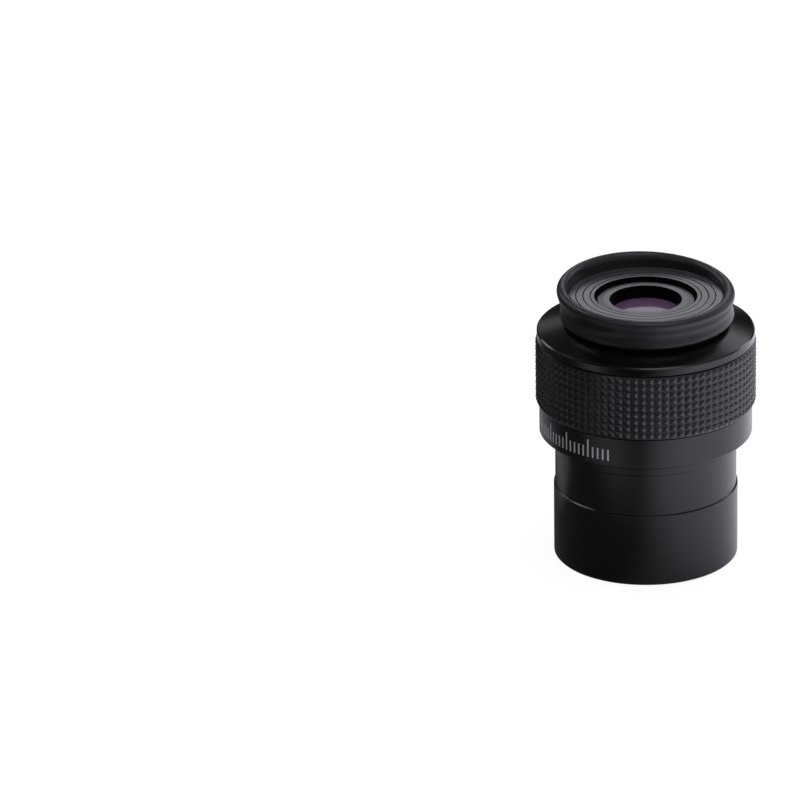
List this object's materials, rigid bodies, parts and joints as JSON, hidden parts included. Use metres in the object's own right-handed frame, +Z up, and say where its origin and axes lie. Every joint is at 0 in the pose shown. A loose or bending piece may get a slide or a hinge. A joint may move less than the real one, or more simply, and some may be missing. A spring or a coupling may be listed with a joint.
{
  "type": "telescope eyepiece",
  "caption": "Telescope eyepiece: black barrel with an undercut, studded rubber grip, bevelled shoulder and folded rubber eyecup; it magnifies the image a telescope forms.",
  "frame": {"origin": "centre of the barrel's open foot, on the optical axis", "axes": "+Z up along the optical axis, from the barrel's foot to the eyecup; the piece is round about Z, and +X and +Y are square to it"},
  "size_m": [0.061, 0.061, 0.0798],
  "materials": {
    "barrel_metal": "satin black anodised",
    "body_metal": "gloss black anodised",
    "eye_metal": "matt black anodised",
    "inner_metal": "matt black against glare",
    "screw_steel": "black oxide",
    "grip_rubber": "matt, moulded in studs",
    "cup_rubber": "satin",
    "coated_glass": "polished, violet coating",
    "inner_glass": "polished, green coating"
  },
  "bodies": {
    "barrel": {"barrel": "barrel_metal"},
    "lift": {"field_stop": "inner_metal"},
    "head": {"body_tube": "body_metal", "grip_sleeve": "grip_rubber", "top_cap": "body_metal", "cap_grub_screws": "screw_steel", "eye_ring": "eye_metal", "lens_cell": "inner_metal", "eye_lens_retainer": "eye_metal", "eye_crown_lens": "coated_glass", "eye_flint_lens": "inner_glass", "eye_spacer": "inner_metal", "centre_lens": "inner_glass", "field_spacer": "inner_metal", "field_crown_lens": "inner_glass", "field_flint_lens": "coated_glass", "field_lens_retainer": "inner_metal", "stop_tube": "inner_metal", "stop_lock_ring": "inner_metal"},
    "cup": {"eyecup": "cup_rubber"}
  },
  "joints": [
    {"name": "unscrew_lift", "type": "slide", "parent": "barrel", "child": "lift", "axis": [0, 0, 1], "range_m": [0, 0.00525]},
    {"name": "unscrew_turn", "type": "hinge", "parent": "lift", "child": "head", "pos_m": [0, 0, 0.0393], "axis": [0, 0, 1], "range_deg": [0, 2520]},
    {"name": "eyecup_turn", "type": "hinge", "parent": "head", "child": "cup", "pos_m": [0, 0, 0.0706], "axis": [0, 0, 1], "continuous": true}
  ],
  "couplings": [
    {"joint": "unscrew_lift", "follows": "unscrew_turn", "m_per_rad": 0.00011937}
  ]
}
